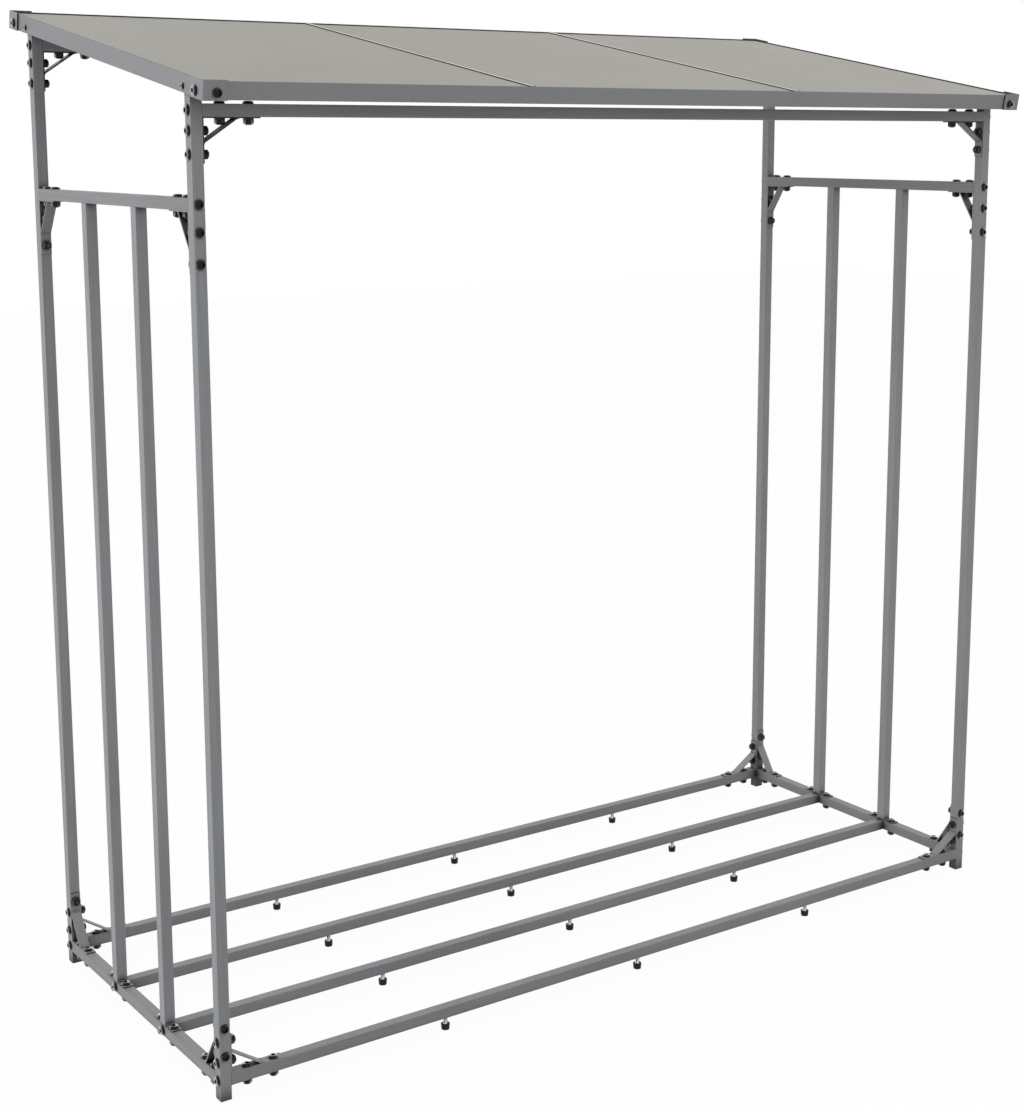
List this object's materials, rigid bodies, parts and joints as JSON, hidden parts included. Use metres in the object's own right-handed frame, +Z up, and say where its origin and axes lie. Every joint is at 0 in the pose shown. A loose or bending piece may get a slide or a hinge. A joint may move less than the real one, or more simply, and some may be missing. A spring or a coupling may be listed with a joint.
{
  "type": "log store",
  "caption": "Open log store: a free-standing frame of square steel tube with slatted ends, braced corners and levelling feet, under a sloping roof of sheet panels.",
  "frame": {"origin": "on the ground, under the middle of the frame's plan", "axes": "+X along the length, +Y from the open front to the rear where the roof is highest, +Z up"},
  "size_m": [1.793, 0.8124, 1.8069],
  "materials": {
    "frame_steel": "satin grey powder coat",
    "roof_sheet": "matt warm grey coated sheet",
    "seal_rubber": "matt black rubber",
    "foot_rubber": "matt black rubber",
    "stem_zinc": "bright zinc plate",
    "bolt_black": "black oxide on steel"
  },
  "bodies": {
    "root": {"front_left_post": "frame_steel", "front_right_post": "frame_steel", "rear_left_post": "frame_steel", "rear_right_post": "frame_steel", "front_bottom_rail": "frame_steel", "front_middle_rail": "frame_steel", "rear_middle_rail": "frame_steel", "rear_bottom_rail": "frame_steel", "left_bottom_rail": "frame_steel", "right_bottom_rail": "frame_steel", "left_upper_rail": "frame_steel", "right_upper_rail": "frame_steel", "front_top_rail": "frame_steel", "rear_top_rail": "frame_steel", "left_front_slat": "frame_steel", "left_rear_slat": "frame_steel", "right_front_slat": "frame_steel", "right_rear_slat": "frame_steel", "bottom_long_braces": "frame_steel", "bottom_side_braces": "frame_steel", "upper_side_braces": "frame_steel", "top_long_braces": "frame_steel", "roof_front_edge": "frame_steel", "roof_rear_edge": "frame_steel", "roof_left_edge": "frame_steel", "roof_right_edge": "frame_steel", "front_left_roof_bracket": "frame_steel", "front_right_roof_bracket": "frame_steel", "rear_left_roof_bracket": "frame_steel", "rear_right_roof_bracket": "frame_steel", "front_foot_stems": "stem_zinc", "front_middle_foot_stems": "stem_zinc", "rear_middle_foot_stems": "stem_zinc", "rear_foot_stems": "stem_zinc", "front_foot_caps": "foot_rubber", "front_middle_foot_caps": "foot_rubber", "rear_middle_foot_caps": "foot_rubber", "rear_foot_caps": "foot_rubber", "left_roof_panel": "roof_sheet", "middle_roof_panel": "roof_sheet", "right_roof_panel": "roof_sheet", "roof_seal": "seal_rubber", "roof_corner_pads": "seal_rubber"}
  },
  "joints": []
}
